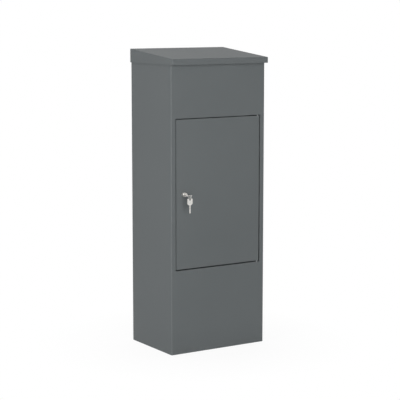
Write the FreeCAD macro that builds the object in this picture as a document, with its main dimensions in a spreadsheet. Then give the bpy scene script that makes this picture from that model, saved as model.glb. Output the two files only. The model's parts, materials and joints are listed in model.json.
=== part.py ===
import FreeCAD, Part
import math
import os
import re

import Sketcher
from FreeCAD import Placement, Rotation, Vector

# Driving sizes of the parcel box, in millimetres.
SIZES = {
    # Cabinet of folded sheet steel
    "cabinet_width": 366,
    "cabinet_depth": 260,
    "overall_height": 1000,
    "sheet": 1.2,
    "bend_radius": 3,
    "rear_return": 18,
    "side_flange": 12,
    "front_flange": 15,
    "panel_inset": 4,
    "fit_clearance": 0.2,
    "pan_flange": 25,
    "pan_corner_relief": 8,
    "anchor_spacing_x": 260,
    "anchor_spacing_y": 160,
    "anchor_hole": 11,
    "wall_spacing_x": 240,
    "wall_spacing_z": 500,
    "wall_hole_height": 150,
    "wall_hole": 9,
    # Sloping lid
    "lid_side_overhang": 3.5,
    "lid_front_overhang": 15.3,
    "lid_back_inset": 2.4,
    "lid_rise": 26.6,
    "lid_front_skirt": 19.2,
    "lid_edge_radius": 2,
    "lid_gap": 2.5,
    "lid_buffer_diameter": 10,
    "lid_buffer_spacing": 290,
    "lid_rest_gap": 0.2,
    # Rolled hinge at the lid's back edge
    "hinge_end_gap": 5,
    "hinge_pin_diameter": 3.1,
    "hinge_clearance": 0.05,
    "hinge_leaf": 1.2,
    "fixed_leaf_width": 26,
    "moving_leaf_width": 44,
    "fixed_knuckles": 6,
    "knuckle_gap": 0.4,
    "rear_notch": 8,
    "rear_notch_length": 14,
    "rivet_diameter": 3.2,
    "rivet_head_diameter": 6.4,
    "rivet_head_height": 1.4,
    "rivet_head_shoulder": 1.15,
    "rivet_tail_diameter": 5,
    "rivet_tail_length": 3.2,
    "rivet_pitch": 65,
    "rivet_drop": 17,
    # Drop tray under the lid
    "tray_side_gap": 4.8,
    "tray_offset": 14,
    "tray_flange": 29,
    "tray_length": 244,
    "tray_lip": 14,
    "tray_side_flange": 12,
    "tray_bend_radius": 2,
    "stud_diameter": 5,
    "stud_length": 12,
    "tray_fixing_spacing": 90,
    "stud_inset": 12,
    "tray_nut_flats": 8,
    "tray_nut_height": 4,
    "tray_washer_diameter": 10,
    "tray_washer_thickness": 1,
    # Collection door in the front
    "frame_margin": 16.7,
    "opening_bottom": 280.7,
    "opening_height": 500.1,
    "opening_edge_radius": 0.4,
    "door_gap_lock": 2.2,
    "door_gap_hinge": 4.0,
    "door_gap_top": 3.0,
    "door_gap_bottom": 4.1,
    "door_depth": 16,
    "door_edge_radius": 0.5,
    "door_corner_relief": 1.4,
    "stop_gap": 2,
    "stop_lip": 10,
    "stop_lip_end": 25,
    "door_buffer_diameter": 8,
    "door_buffer_inset": 45,
    "door_rest_gap": 0.2,
    # Door pivots
    "pivot_inset": 4.4,
    "pivot_setback": 4.2,
    "pivot_diameter": 3,
    "pivot_collar_diameter": 4,
    "pivot_clearance": 0.05,
    "pivot_head_diameter": 5.6,
    "pivot_head_height": 1.5,
    "pivot_play": 0.1,
    "bush_wall": 0.8,
    "bush_rim": 0.4,
    "bush_rim_thickness": 1,
    "bush_stand": 0.4,
    "bush_length": 5,
    # Cam lock
    "lock_inset": 47,
    "lock_height": 533,
    "lock_base_diameter": 16,
    "lock_base_thickness": 1.2,
    "lock_face_diameter": 13.6,
    "lock_protrusion": 15,
    "barrel_diameter": 12.6,
    "barrel_flats": 11,
    "barrel_length": 20.5,
    "barrel_clearance": 0.1,
    "plug_diameter": 9,
    "plug_recess": 0.4,
    "plug_end_play": 0.3,
    "plug_clearance": 0.05,
    "keyway_clearance": 0.2,
    "keyway_depth": 25,
    "lock_washer_diameter": 18,
    "lock_washer_thickness": 1,
    "lock_nut_flats": 17,
    "lock_nut_height": 4,
    "cam_length": 36,
    "cam_width": 14,
    "cam_hub_diameter": 15,
    "cam_thickness": 2.5,
    "cam_square": 6,
    "cam_tip_radius": 3,
    "cam_screw_diameter": 3,
    "cam_screw_length": 6,
    "cam_screw_head_diameter": 6.4,
    "cam_screw_head_height": 2,
    "cam_screw_crown_diameter": 4.8,
    "cam_washer_diameter": 11,
    "cam_washer_thickness": 1,
    # Keys and ring
    "key_bow_width": 19.8,
    "key_bow_length": 18,
    "key_bow_radius": 3,
    "key_shoulder": 4.4,
    "key_neck": 1.9,
    "key_blade_width": 4.8,
    "key_blade_length": 25,
    "key_tip": 2.4,
    "key_thickness": 1.8,
    "key_hole_diameter": 6,
    "key_hole_inset": 4,
    "key_cut_depth": 1,
    "key_cut_pitch": 3.6,
    "key_cut_start": 2,
    "ring_diameter": 13,
    "ring_thickness": 1,
    "ring_width": 1.6,
    "ring_groove": 0.25,
    "ring_hang_gap": 0.5,
}
# Counts of the repeated pieces
RIVETS = 5
STUDS = 4
LID_BUFFERS = 2
# Each cut of a key's blade: half its width over the pitch, its depth over the deepest
KEY_CUTS = [(0.3, 1), (0.4, 0.7), (0.3, 1), (0.4, 1), (0.3, 0.7)]
# How far a hinge leaf is rolled round its pin
ROLL = math.radians(285)
# Room for rounding when places and volumes are compared
TINY = 1e-4

doc = FreeCAD.newDocument("parcel_box")
sizes = doc.addObject("Spreadsheet::Sheet", "sizes")
for row, (alias, value) in enumerate(SIZES.items(), start=1):
    sizes.set(f"A{row}", alias)
    sizes.set(f"B{row}", str(value))
    sizes.setAlias(f"B{row}", alias)
doc.recompute()


# Formulas over the driving sizes

def formula(text):
    """The text with each size's name written as a reference to the sheet."""
    def reference(word):
        return f"sizes.{word[0]}" if word[0] in SIZES else word[0]
    return re.sub(r"[a-z_]+", reference, str(text))


def number(text):
    """What a formula comes to."""
    found = sizes.evalExpression(formula(text))
    return float(getattr(found, "Value", found))


HALF_WIDTH = "(cabinet_width / 2)"
FRONT = "(-cabinet_depth / 2)"
BACK = "(cabinet_depth / 2)"
RETURN_BACK = "(cabinet_depth / 2 - sheet)"
LID_FRONT = "(-cabinet_depth / 2 - lid_front_overhang)"
LID_BACK = "(cabinet_depth / 2 - lid_back_inset)"
SLOPE = f"(lid_rise / ({LID_BACK} - {LID_FRONT}))"
STRETCH = f"sqrt(1 + {SLOPE} ^ 2)"
SKIRT_BOTTOM = "(overall_height - lid_rise - lid_front_skirt)"
LID_WIDTH = "(cabinet_width + 2 * lid_side_overhang)"


def lid_top(y):
    """Height of the lid's upper face at a depth y."""
    return f"(overall_height - ({LID_BACK} - {y}) * {SLOPE})"


def lid_under(y):
    """Height of the lid's lower face at a depth y."""
    return f"({lid_top(y)} - sheet * {STRETCH})"


def wall_top(y):
    """Height of the cabinet's upper edge at a depth y."""
    return f"({lid_under(y)} - lid_gap * {STRETCH})"


HINGE_LENGTH = "(cabinet_width - 2 * rear_return - 2 * hinge_end_gap)"
KNUCKLE = "(hinge_pin_diameter / 2 + hinge_clearance + hinge_leaf)"
KNUCKLE_BORE = "(hinge_pin_diameter / 2 + hinge_clearance)"
HINGE_Y = f"({RETURN_BACK} - {KNUCKLE})"
HINGE_Z = f"({lid_under(HINGE_Y)} - {KNUCKLE} * {STRETCH})"
NOTCH_Z = f"({HINGE_Z} - rear_notch)"
KNUCKLE_PITCH = f"({HINGE_LENGTH} / (2 * fixed_knuckles - 1))"

OPENING_LEFT = f"(-{HALF_WIDTH} + frame_margin)"
OPENING_RIGHT = f"({HALF_WIDTH} - frame_margin)"
OPENING_TOP = "(opening_bottom + opening_height)"
DOOR_LEFT = f"({OPENING_LEFT} + door_gap_lock)"
DOOR_RIGHT = f"({OPENING_RIGHT} - door_gap_hinge)"
DOOR_BOTTOM = "(opening_bottom + door_gap_bottom)"
DOOR_TOP = f"({OPENING_TOP} - door_gap_top)"
LIP_DEPTH = "(door_depth + stop_gap)"
PIVOT_X = f"({DOOR_RIGHT} - pivot_inset)"
PIVOT_Y = f"({FRONT} + pivot_setback)"
PIVOT_BORE = "(pivot_diameter / 2 + pivot_clearance)"
BUSH_RADIUS = f"({PIVOT_BORE} + bush_wall)"

LOCK_X = f"(-{HALF_WIDTH} + lock_inset)"
PLUG_FACE = "(plug_recess - lock_protrusion)"
PLUG_BACK = "(barrel_length + plug_end_play)"
CAM_BACK = f"({PLUG_BACK} + cam_thickness)"
KEY_END = "(key_neck + key_shoulder + key_bow_length)"
KEY_BAR = "(key_hole_inset - key_hole_diameter / 2)"
RING_BORE = "(ring_diameter / 2 - ring_thickness / 2)"
RING_Y = f"({FRONT} + {PLUG_FACE} - {KEY_END} + {KEY_BAR} / 2)"
RING_Z = f"(lock_height + key_thickness / 2 + ring_hang_gap - {RING_BORE})"


# Bodies, sketches and features

def new_body(label, x="0", y="0", z="0", tilted=False):
    """A body at a place, turned to the lid's slope where it is fixed to the lid."""
    body = doc.addObject("PartDesign::Body", label)
    if tilted:
        body.Placement = Placement(Vector(), Rotation(Vector(1, 0, 0), 1))
        body.setExpression("Placement.Rotation.Angle", formula(f"atan({SLOPE})"))
    for axis, place in (("x", x), ("y", y), ("z", z)):
        body.setExpression(f"Placement.Base.{axis}", formula(place))
    return body


def new_sketch(body, plane, name, offset="0"):
    """A sketch on one of the body's own planes, moved along its normal."""
    sketch = body.newObject("Sketcher::SketchObject", name)
    support = next(item for item in body.Origin.OriginFeatures if item.Role == plane)
    sketch.AttachmentSupport = [(support, "")]
    sketch.MapMode = "FlatFace"
    sketch.setExpression("AttachmentOffset.Base.z", formula(offset))
    return sketch


def pin_point(sketch, geometry, point, across, up):
    """Ties a point of the sketch to two formulas."""
    for kind, place in (("DistanceX", across), ("DistanceY", up)):
        if place is not None:
            rule = Sketcher.Constraint(kind, -1, 1, geometry, point, number(place))
            sketch.setExpression(f"Constraints[{sketch.addConstraint(rule)}]", formula(place))


def join_points(sketch, one, one_end, other, other_end):
    sketch.addConstraint(Sketcher.Constraint("Coincident", one, one_end, other, other_end))


def outline(sketch, points):
    """A closed outline of straight lines through the points."""
    places = [Vector(number(across), number(up), 0) for across, up in points]
    first = sketch.GeometryCount
    for start, end in zip(places, places[1:] + places[:1]):
        sketch.addGeometry(Part.LineSegment(start, end), False)
    for index, (across, up) in enumerate(points):
        join_points(sketch, first + index - 1 if index else first + len(points) - 1, 2, first + index, 1)
        pin_point(sketch, first + index, 1, across, up)


def rectangle(sketch, left, low, right, high):
    outline(sketch, [(left, low), (right, low), (right, high), (left, high)])


def circle(sketch, across, up, radius):
    centre = Vector(number(across), number(up), 0)
    index = sketch.addGeometry(Part.Circle(centre, Vector(0, 0, 1), number(radius)), False)
    pin_point(sketch, index, 3, across, up)
    rule = Sketcher.Constraint("Radius", index, number(radius))
    sketch.setExpression(f"Constraints[{sketch.addConstraint(rule)}]", formula(radius))


def hexagon(sketch, across, up, flats):
    side = f"({flats} / 2 / sqrt(3))"
    points = [(1, -1), (1, 1), (0, 2), (-1, 1), (-1, -1), (0, -2)]
    outline(sketch, [(f"({across} + {a} * {flats} / 2)", f"({up} + {b} * {side})") for a, b in points])


def add_feature(body, kind, sketch, length, reverse, both):
    feature = body.newObject(f"PartDesign::{kind}", f"{sketch.Name}_{kind.lower()}")
    feature.Profile = sketch
    if length == "through":
        feature.Type = "ThroughAll"
    else:
        feature.setExpression("Length", formula(length))
    feature.Reversed = reverse
    if both:
        feature.SideType = "Symmetric"
    doc.recompute()
    return feature


def pad(body, sketch, length, reverse=False, both=False):
    return add_feature(body, "Pad", sketch, length, reverse, both)


def pocket(body, sketch, length, reverse=False, both=False):
    """A cut, which has to take something away."""
    before = body.Shape.Volume
    feature = add_feature(body, "Pocket", sketch, length, reverse, both)
    if body.Shape.Volume > before - TINY:
        raise RuntimeError(f"{sketch.Name} cuts nothing")
    return feature


def revolve(body, sketch, axis):
    feature = body.newObject("PartDesign::Revolution", f"{sketch.Name}_turned")
    feature.Profile = sketch
    feature.ReferenceAxis = (sketch, [axis])
    feature.Angle = 360
    doc.recompute()
    return feature


def edges_at(body, along, x=None, y=None, z=None):
    """Names of the body's straight edges along an axis, by the places of their middles."""
    wanted = [None if place is None else number(place) for place in (x, y, z)]
    names = []
    for index, edge in enumerate(body.Tip.Shape.Edges, start=1):
        box = edge.BoundBox
        spans = {"X": box.XLength, "Y": box.YLength, "Z": box.ZLength}
        if any(span > TINY for axis, span in spans.items() if axis != along):
            continue
        middle = (box.Center.x, box.Center.y, box.Center.z)
        if all(want is None or abs(want - at) < TINY for want, at in zip(wanted, middle)):
            names.append(f"Edge{index}")
    return names


def round_edges(body, names, radius):
    if not names:
        raise RuntimeError(f"no edge of {body.Name} to round")
    base = body.Tip
    feature = body.newObject("PartDesign::Fillet", f"{body.Name}_round")
    feature.Base = (base, names)
    feature.setExpression("Radius", formula(radius))
    doc.recompute()
    return feature


def flat_faces_at(body, x=None, y=None, z=None):
    """Names of the body's flat faces that lie on a plane across an axis."""
    names = []
    for index, face in enumerate(body.Tip.Shape.Faces, start=1):
        box = face.BoundBox
        spans = ((x, box.XMin, box.XMax), (y, box.YMin, box.YMax), (z, box.ZMin, box.ZMax))
        if all(place is None or max(abs(low - number(place)), abs(high - number(place))) < TINY
               for place, low, high in spans):
            names.append(f"Face{index}")
    return names


def hollow_out(body, open_faces):
    """Leaves the body as a sheet that is open at some faces."""
    base = body.Tip
    feature = body.newObject("PartDesign::Thickness", f"{body.Name}_sheet")
    feature.Base = (base, open_faces)
    feature.setExpression("Value", formula("sheet"))
    feature.Reversed = True
    doc.recompute()
    return feature


def spaced(count, pitch):
    """Places of a row that is centred on zero."""
    return [f"({index - (count - 1) / 2} * {pitch})" for index in range(count)]


def corners(spacing_across, spacing_up):
    """Places of a rectangle's corners, centred on zero."""
    signs = [(-1, -1), (-1, 1), (1, -1), (1, 1)]
    return [(f"({a} * {spacing_across} / 2)", f"({b} * {spacing_up} / 2)") for a, b in signs]


# Cabinet wrap: front and sides folded from one sheet, with its flanges and the door's frame

def build_cabinet_wrap():
    body = new_body("cabinet_wrap")
    block = new_sketch(body, "XY_Plane", "wrap_block")
    rectangle(block, f"-{HALF_WIDTH}", FRONT, HALF_WIDTH, RETURN_BACK)
    pad(body, block, "overall_height")

    above = new_sketch(body, "YZ_Plane", "wrap_slope")
    low_y, high_y = f"({FRONT} - sheet)", f"({BACK} + sheet)"
    outline(above, [(low_y, wall_top(low_y)), (high_y, wall_top(high_y)),
                    (high_y, "(2 * overall_height)"), (low_y, "(2 * overall_height)")])
    pocket(body, above, "through", both=True)
    upright = []
    for x in (f"-{HALF_WIDTH}", HALF_WIDTH):
        for y in (FRONT, RETURN_BACK):
            upright += edges_at(body, "Z", x=x, y=y)
    round_edges(body, upright, "bend_radius")
    round_edges(body, edges_at(body, "X", y=FRONT, z=wall_top(FRONT)), "bend_radius")

    hollow_out(body, flat_faces_at(body, z="0"))
    rear = new_sketch(body, "XZ_Plane", "wrap_rear_opening", f"-{RETURN_BACK}")
    clear = f"({HALF_WIDTH} - rear_return)"
    rectangle(rear, f"-{clear}", "(-sheet)", clear, "overall_height")
    pocket(body, rear, "(2 * sheet)", reverse=True)
    top = new_sketch(body, "XY_Plane", "wrap_top_opening", "overall_height")
    clear = f"({HALF_WIDTH} - sheet - side_flange)"
    rectangle(top, f"-{clear}", f"({FRONT} + front_flange)", clear, BACK)
    pocket(body, top, "through")
    notch = new_sketch(body, "YZ_Plane", "wrap_rear_notch")
    rectangle(notch, f"({BACK} - rear_notch_length)", NOTCH_Z, f"({BACK} + sheet)", "(2 * overall_height)")
    pocket(body, notch, "through", both=True)

    hole = new_sketch(body, "XZ_Plane", "door_opening", f"-{FRONT}")
    rectangle(hole, OPENING_LEFT, "opening_bottom", OPENING_RIGHT, OPENING_TOP)
    pocket(body, hole, "(2 * sheet)")
    returns = new_sketch(body, "XZ_Plane", "door_frame_returns", f"-{FRONT}")
    rectangle(returns, f"({OPENING_LEFT} - sheet)", "(opening_bottom - sheet)",
              f"({OPENING_RIGHT} + sheet)", f"({OPENING_TOP} + sheet)")
    rectangle(returns, OPENING_LEFT, "opening_bottom", OPENING_RIGHT, OPENING_TOP)
    pad(body, returns, f"({LIP_DEPTH} + sheet)", reverse=True)
    lip = new_sketch(body, "XZ_Plane", "door_stop_lip", f"-({FRONT} + {LIP_DEPTH})")
    left, end = f"({OPENING_LEFT} - sheet)", f"({PIVOT_X} - stop_lip_end)"
    low, high = "(opening_bottom - sheet)", f"({OPENING_TOP} + sheet)"
    inner_low, inner_high = "(opening_bottom + stop_lip)", f"({OPENING_TOP} - stop_lip)"
    inner_left = f"({OPENING_LEFT} + stop_lip)"
    outline(lip, [(left, low), (end, low), (end, inner_low), (inner_left, inner_low),
                  (inner_left, inner_high), (end, inner_high), (end, high), (left, high)])
    pad(body, lip, "sheet", reverse=True)
    rim = edges_at(body, "Z", x=OPENING_LEFT, y=FRONT) + edges_at(body, "Z", x=OPENING_RIGHT, y=FRONT)
    rim += edges_at(body, "X", y=FRONT, z="opening_bottom") + edges_at(body, "X", y=FRONT, z=OPENING_TOP)
    round_edges(body, rim, "opening_edge_radius")

    pivots = new_sketch(body, "XY_Plane", "frame_pivot_holes", f"({OPENING_TOP} + 2 * sheet)")
    circle(pivots, PIVOT_X, PIVOT_Y, PIVOT_BORE)
    pocket(body, pivots, "(opening_height + 4 * sheet)")


# Back panel, with the wall fixing holes and the hinge's rivet holes

def build_back_panel():
    body = new_body("back_panel")
    plate = new_sketch(body, "XZ_Plane", "panel_plate", f"-{BACK}")
    side = f"({HALF_WIDTH} - panel_inset)"
    rectangle(plate, f"-{side}", "0", side, NOTCH_Z)
    pad(body, plate, "sheet")
    holes = new_sketch(body, "XZ_Plane", "panel_holes", f"-{BACK}")
    for x in ("(-wall_spacing_x / 2)", "(wall_spacing_x / 2)"):
        for z in ("wall_hole_height", "(wall_hole_height + wall_spacing_z)"):
            circle(holes, x, z, "(wall_hole / 2)")
    for x in spaced(RIVETS, "rivet_pitch"):
        circle(holes, x, f"({HINGE_Z} - rivet_drop)", "(rivet_diameter / 2 + hinge_clearance)")
    pocket(body, holes, "(2 * sheet)", reverse=True)


# Floor pan with upturned flanges and ground anchor holes

def build_floor_pan():
    body = new_body("floor_pan")
    right = f"({HALF_WIDTH} - sheet - fit_clearance)"
    front = f"({FRONT} + sheet + fit_clearance)"
    back = f"({RETURN_BACK} - sheet - fit_clearance)"
    plate = new_sketch(body, "XY_Plane", "pan_plate")
    rectangle(plate, f"-{right}", front, right, back)
    pad(body, plate, "sheet")
    upright = []
    for x in (f"-{right}", right):
        for y in (front, back):
            upright += edges_at(body, "Z", x=x, y=y)
    round_edges(body, upright, "bend_radius")
    flanges = new_sketch(body, "XY_Plane", "pan_flanges")
    reach = f"({right} - pan_corner_relief)"
    low, high = f"({front} + pan_corner_relief)", f"({back} - pan_corner_relief)"
    rectangle(flanges, f"-{reach}", front, reach, f"({front} + sheet)")
    rectangle(flanges, f"-{reach}", f"({back} - sheet)", reach, back)
    rectangle(flanges, f"-{right}", low, f"(-{right} + sheet)", high)
    rectangle(flanges, f"({right} - sheet)", low, right, high)
    pad(body, flanges, "pan_flange")
    holes = new_sketch(body, "XY_Plane", "pan_anchor_holes", "sheet")
    for x, y in corners("anchor_spacing_x", "anchor_spacing_y"):
        circle(holes, x, y, "(anchor_hole / 2)")
    pocket(body, holes, "(2 * sheet)")


# Lid: one sheet folded down at the front and both sides

def build_lid_cap():
    body = new_body("lid_cap")
    wedge = new_sketch(body, "YZ_Plane", "lid_wedge")
    outline(wedge, [(LID_FRONT, SKIRT_BOTTOM), (LID_BACK, SKIRT_BOTTOM),
                    (LID_BACK, lid_top(LID_BACK)), (LID_FRONT, lid_top(LID_FRONT))])
    pad(body, wedge, LID_WIDTH, both=True)
    half = f"({LID_WIDTH} / 2)"
    upright = edges_at(body, "Z", x=f"-{half}", y=LID_FRONT) + edges_at(body, "Z", x=half, y=LID_FRONT)
    round_edges(body, upright, "lid_edge_radius")
    round_edges(body, edges_at(body, "X", y=LID_FRONT, z=lid_top(LID_FRONT)), "lid_edge_radius")
    inside = new_sketch(body, "YZ_Plane", "lid_inside")
    near, far, low = f"({LID_FRONT} + sheet)", f"({BACK} + sheet)", f"({SKIRT_BOTTOM} - sheet)"
    outline(inside, [(near, low), (far, low), (far, lid_under(far)), (near, lid_under(near))])
    pocket(body, inside, f"({LID_WIDTH} - 2 * sheet)", both=True)


# Lid hinge: two leaves rolled round one pin

def rolled_section(sketch, tab, front):
    """Section of a leaf's edge: a flat tab that runs on into a roll round the axis."""
    def at(along, out):
        return (f"(-{along})", out) if front else (out, f"(-{along})")
    tab_points = [at(tab, KNUCKLE), at("0", KNUCKLE), at("0", KNUCKLE_BORE), at(tab, KNUCKLE_BORE)]
    places = [Vector(number(across), number(up), 0) for across, up in tab_points]
    start = math.pi / 2 - ROLL if front else 0
    arcs = [Part.ArcOfCircle(Part.Circle(Vector(), Vector(0, 0, 1), number(radius)), start,
                             start + ROLL) for radius in (KNUCKLE, KNUCKLE_BORE)]
    root, free = (2, 1) if front else (1, 2)
    ends = [arc.StartPoint if front else arc.EndPoint for arc in arcs]
    outer_line = sketch.addGeometry(Part.LineSegment(places[0], places[1]), False)
    inner_line = sketch.addGeometry(Part.LineSegment(places[2], places[3]), False)
    end_line = sketch.addGeometry(Part.LineSegment(places[3], places[0]), False)
    lip_line = sketch.addGeometry(Part.LineSegment(ends[0], ends[1]), False)
    outer_arc, inner_arc = [sketch.addGeometry(arc, False) for arc in arcs]
    for arc in (outer_arc, inner_arc):
        join_points(sketch, arc, 3, -1, 1)
    join_points(sketch, outer_line, 2, outer_arc, root)
    join_points(sketch, inner_line, 1, inner_arc, root)
    join_points(sketch, inner_line, 2, end_line, 1)
    join_points(sketch, end_line, 2, outer_line, 1)
    join_points(sketch, outer_arc, free, lip_line, 1)
    join_points(sketch, inner_arc, free, lip_line, 2)
    for line, point, (across, up) in ((outer_line, 1, tab_points[0]), (outer_line, 2, tab_points[1]),
                                      (inner_line, 1, tab_points[2]), (inner_line, 2, tab_points[3])):
        pin_point(sketch, line, point, across, up)
    turn = math.cos(ROLL)
    for point, radius in ((1, KNUCKLE), (2, KNUCKLE_BORE)):
        across, up = at("0", f"({turn} * {radius})")
        pin_point(sketch, lip_line, point, None if front else across, up if front else None)


def build_hinge_leaf(label, width, first_knuckle, count, front):
    """A leaf with every second knuckle of the hinge."""
    body = new_body(label, y=HINGE_Y, z=HINGE_Z, tilted=front)
    inner, edge = f"({KNUCKLE} - hinge_leaf)", f"({KNUCKLE} + knuckle_gap)"
    plate = new_sketch(body, "YZ_Plane", f"{label}_plate")
    if front:
        rectangle(plate, f"(-{width})", inner, f"(-{edge})", KNUCKLE)
    else:
        rectangle(plate, inner, f"(-{width})", KNUCKLE, f"(-{edge})")
    pad(body, plate, HINGE_LENGTH, both=True)
    for index in range(count):
        place = f"(({first_knuckle} + 2 * {index}) * {KNUCKLE_PITCH} - {HINGE_LENGTH} / 2 + knuckle_gap / 2)"
        knuckle = new_sketch(body, "YZ_Plane", f"{label}_knuckle_{index}", place)
        rolled_section(knuckle, f"({edge} + hinge_leaf)", front)
        pad(body, knuckle, f"({KNUCKLE_PITCH} - knuckle_gap)")
    return body


def build_lid_hinge():
    fixed_count = round(number("fixed_knuckles"))
    fixed = build_hinge_leaf("lid_hinge_fixed_leaf", "fixed_leaf_width", 0, fixed_count, False)
    holes = new_sketch(fixed, "XZ_Plane", "leaf_rivet_holes")
    for x in spaced(RIVETS, "rivet_pitch"):
        circle(holes, x, "(-rivet_drop)", "(rivet_diameter / 2 + hinge_clearance)")
    pocket(fixed, holes, f"(2 * {KNUCKLE})")

    moving = build_hinge_leaf("lid_hinge_moving_leaf", "moving_leaf_width", 1, fixed_count - 1, True)
    holes = new_sketch(moving, "XY_Plane", "leaf_stud_holes", KNUCKLE)
    stud_circles(holes, "(stud_diameter / 2 + fit_clearance)")
    pocket(moving, holes, "(2 * hinge_leaf)")

    pin = new_body("lid_hinge_pin", y=HINGE_Y, z=HINGE_Z)
    section = new_sketch(pin, "XY_Plane", "hinge_pin_section")
    radius, bevel = "(hinge_pin_diameter / 2)", "(hinge_pin_diameter / 6)"
    end = f"({HINGE_LENGTH} / 2 + sheet)"
    outline(section, [(f"(-{end})", "0"), (end, "0"), (end, f"({radius} - {bevel})"),
                      (f"({end} - {bevel})", radius), (f"({bevel} - {end})", radius),
                      (f"(-{end})", f"({radius} - {bevel})")])
    revolve(pin, section, "H_Axis")


def build_hinge_rivets():
    """Blind rivets: domed heads behind the panel, bulged tails on the leaf."""
    body = new_body("lid_hinge_rivets", spaced(RIVETS, "rivet_pitch")[0], BACK, f"({HINGE_Z} - rivet_drop)")
    radius, grip = "(rivet_diameter / 2)", "(sheet + hinge_leaf)"
    head, tail = "(rivet_head_diameter / 2)", "(rivet_tail_diameter / 2)"
    tail_end = f"(-{grip} - rivet_tail_length)"
    section = new_sketch(body, "XY_Plane", "rivet_section")
    outline(section, [("0", "rivet_head_height"), (f"({head} / 2)", "rivet_head_shoulder"), (head, "0"),
                      (radius, "0"), (radius, f"(-{grip})"), (tail, f"(-{grip})"),
                      (tail, f"(-{grip} - rivet_tail_length / 2)"), (radius, tail_end), ("0", tail_end)])
    turned = revolve(body, section, "V_Axis")
    pattern = body.newObject("PartDesign::LinearPattern", "rivet_row")
    pattern.Originals = [turned]
    pattern.Direction = (next(item for item in body.Origin.OriginFeatures if item.Role == "X_Axis"), [""])
    pattern.setExpression("Length", formula(f"{RIVETS - 1} * rivet_pitch"))
    pattern.Occurrences = RIVETS
    body.Tip = pattern
    doc.recompute()


# Drop tray: plate that hangs behind the shaft and swings out under a parcel when the lid opens

TRAY_WIDTH = "(cabinet_width - 2 * (sheet + side_flange + tray_side_gap))"
TRAY_TOP = f"({KNUCKLE} - hinge_leaf)"
STUD_Y = "(-tray_offset - tray_flange + stud_inset)"


def stud_circles(sketch, radius):
    for x in spaced(STUDS, "tray_fixing_spacing"):
        circle(sketch, x, STUD_Y, radius)


def build_drop_tray():
    body = new_body("drop_tray", y=HINGE_Y, z=HINGE_Z, tilted=True)

    def hung(forward, down):
        """A place given from the hinge axis, forward and straight down, in the lid's own slope."""
        return (f"((-({forward}) - ({down}) * {SLOPE}) / {STRETCH})",
                f"((({forward}) * {SLOPE} - ({down})) / {STRETCH})")

    near, far = "tray_offset", "(tray_offset + sheet)"
    lip, low = "(tray_offset + tray_lip)", "tray_length"
    flange_end = "(-tray_offset - tray_flange)"
    under = f"({TRAY_TOP} - sheet)"
    section = new_sketch(body, "YZ_Plane", "tray_section")
    rear_top = (f"(-tray_offset * {STRETCH} + {TRAY_TOP} * {SLOPE})", TRAY_TOP)
    front_top = (f"(-{far} * {STRETCH} + {under} * {SLOPE})", under)
    outline(section, [rear_top, hung(near, low), hung(lip, low), hung(lip, f"({low} - sheet)"),
                      hung(far, f"({low} - sheet)"), front_top, (flange_end, under), (flange_end, TRAY_TOP)])
    pad(body, section, TRAY_WIDTH, both=True)
    sides = new_sketch(body, "YZ_Plane", "tray_sides", f"(-{TRAY_WIDTH} / 2)")
    side_tip, side_top = "(tray_offset + tray_side_flange)", "(2 * tray_side_flange)"
    side_points = [hung(near, low), hung(side_tip, low), hung(side_tip, f"({side_top} + tray_side_flange)"),
                   hung(far, side_top), hung(near, side_top)]
    outline(sides, side_points)
    pad(body, sides, "sheet")
    other = new_sketch(body, "YZ_Plane", "tray_other_side", f"({TRAY_WIDTH} / 2)")
    outline(other, side_points)
    pad(body, other, "sheet", reverse=True)
    bends = edges_at(body, "X", y=rear_top[0], z=rear_top[1])
    round_edges(body, bends, "tray_bend_radius")
    holes = new_sketch(body, "XY_Plane", "tray_stud_holes", KNUCKLE)
    stud_circles(holes, "(stud_diameter / 2 + fit_clearance)")
    pocket(body, holes, "(3 * (sheet + hinge_leaf))")


def build_tray_fasteners():
    """Weld studs under the lid, with the washers and nuts that clamp the tray and the hinge leaf."""
    clamp = f"({TRAY_TOP} - sheet)"
    studs = new_body("tray_studs", y=HINGE_Y, z=HINGE_Z, tilted=True)
    shafts = new_sketch(studs, "XY_Plane", "stud_shafts", KNUCKLE)
    stud_circles(shafts, "(stud_diameter / 2)")
    pad(studs, shafts, "stud_length", reverse=True)

    washers = new_body("tray_washers", y=HINGE_Y, z=HINGE_Z, tilted=True)
    rings = new_sketch(washers, "XY_Plane", "washer_rings", clamp)
    stud_circles(rings, "(tray_washer_diameter / 2)")
    stud_circles(rings, "(stud_diameter / 2 + fit_clearance)")
    pad(washers, rings, "tray_washer_thickness", reverse=True)

    nuts = new_body("tray_nuts", y=HINGE_Y, z=HINGE_Z, tilted=True)
    blanks = new_sketch(nuts, "XY_Plane", "nut_blanks", f"({clamp} - tray_washer_thickness)")
    for x in spaced(STUDS, "tray_fixing_spacing"):
        hexagon(blanks, x, STUD_Y, "tray_nut_flats")
    stud_circles(blanks, "(stud_diameter / 2 + hinge_clearance)")
    pad(nuts, blanks, "tray_nut_height", reverse=True)


# Rubber buffers under the lid and behind the door

def build_buffers():
    lid = new_body("lid_buffers", y=HINGE_Y, z=HINGE_Z, tilted=True)
    pads = new_sketch(lid, "XY_Plane", "lid_buffer_pads", f"({KNUCKLE} - lid_gap)")
    middle = f"(-({HINGE_Y} - {FRONT} - (front_flange + bend_radius) / 2) * {STRETCH})"
    for x in spaced(LID_BUFFERS, "lid_buffer_spacing"):
        circle(pads, x, middle, "(lid_buffer_diameter / 2)")
    pad(lid, pads, "(lid_gap - lid_rest_gap)")

    door = new_body("door_buffers")
    pads = new_sketch(door, "XZ_Plane", "door_buffer_pads", f"-({FRONT} + {LIP_DEPTH})")
    for z in (f"({DOOR_BOTTOM} + door_buffer_inset)", f"({DOOR_TOP} - door_buffer_inset)"):
        circle(pads, f"({OPENING_LEFT} + stop_lip / 2)", z, "(door_buffer_diameter / 2)")
    pad(door, pads, "(stop_gap - door_rest_gap)")


# Collection door: flush pan with returned edges

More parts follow.
